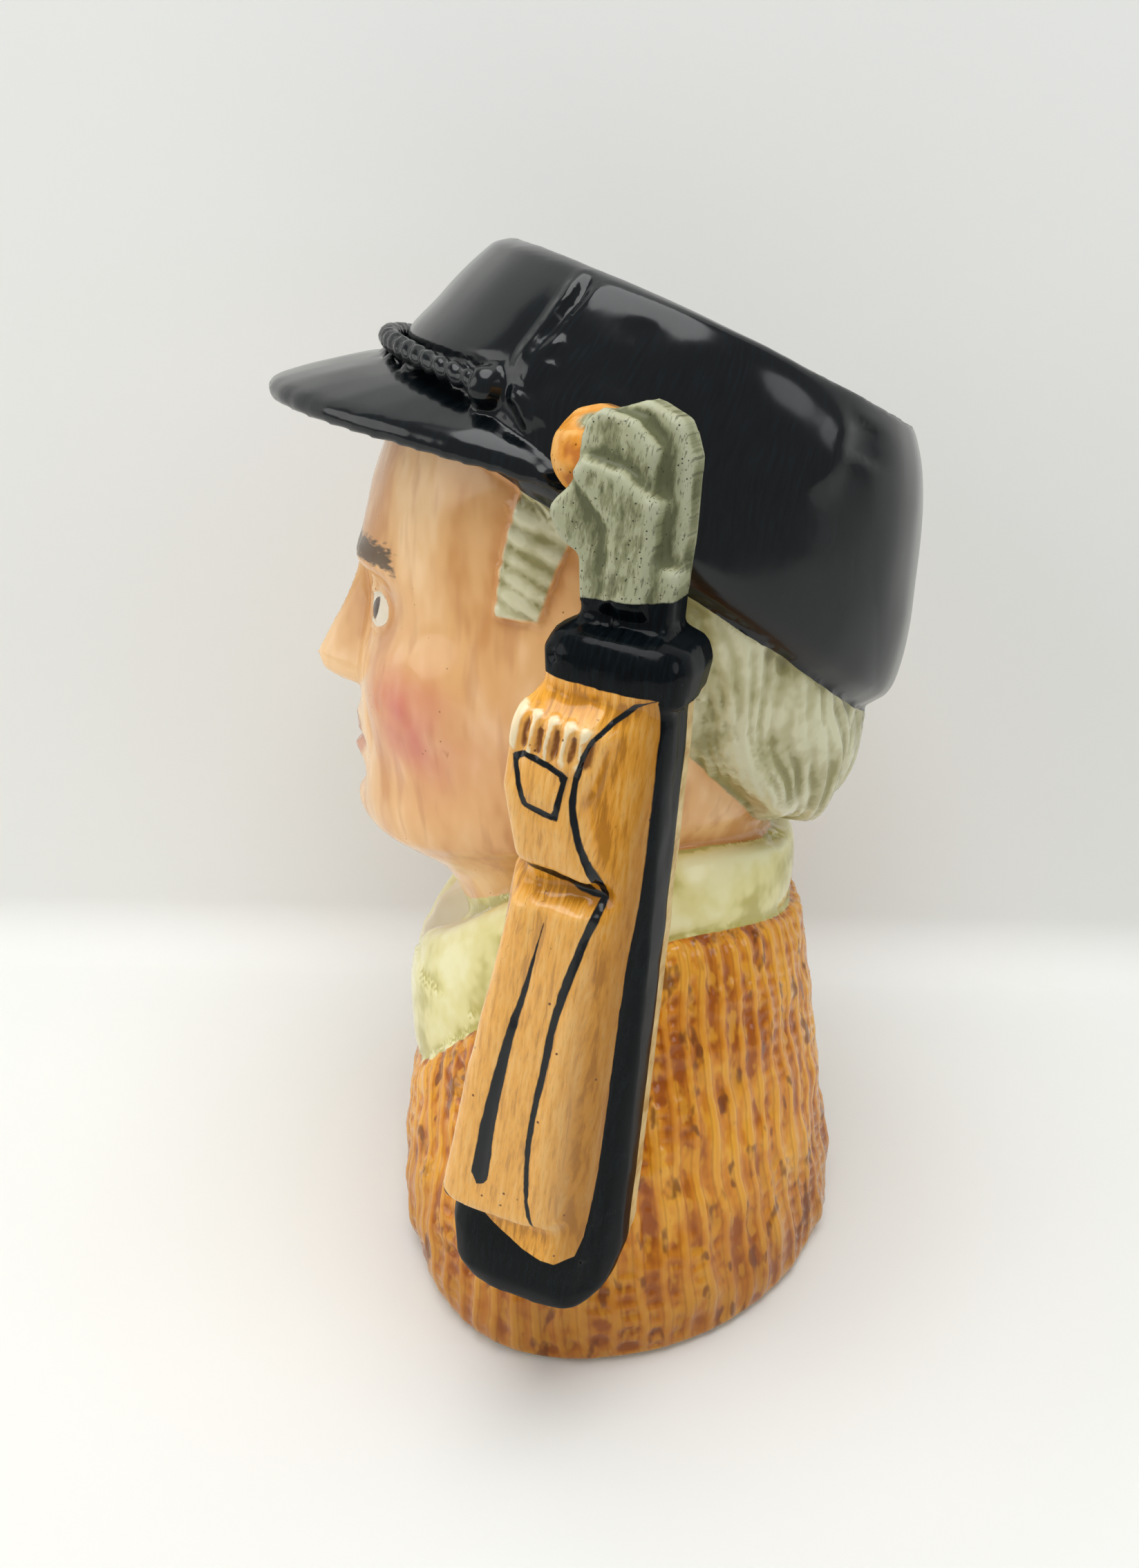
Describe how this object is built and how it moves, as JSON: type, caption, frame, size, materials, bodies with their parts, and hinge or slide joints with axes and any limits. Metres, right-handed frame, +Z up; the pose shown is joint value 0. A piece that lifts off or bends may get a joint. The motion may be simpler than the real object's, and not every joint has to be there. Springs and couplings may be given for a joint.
{
  "type": "toby jug",
  "caption": "Glazed earthenware character jug: a golfer's bust in a ribbed sweater and peaked cap, open at the crown, with a golf bag handle.",
  "frame": {"origin": "middle of the flat underside that the jug stands on", "axes": "+Z up; the figure looks along -Y; its left side and the handle are at +X"},
  "size_m": [0.1459, 0.1113, 0.178],
  "materials": {
    "glazed_earthenware": "hand-painted colours under a clear gloss glaze: black cap, tan skin, grey-green hair, pale green collar, amber sweater, tan and black golf bag"
  },
  "bodies": {
    "root": {"toby_jug": "glazed_earthenware"}
  },
  "joints": []
}
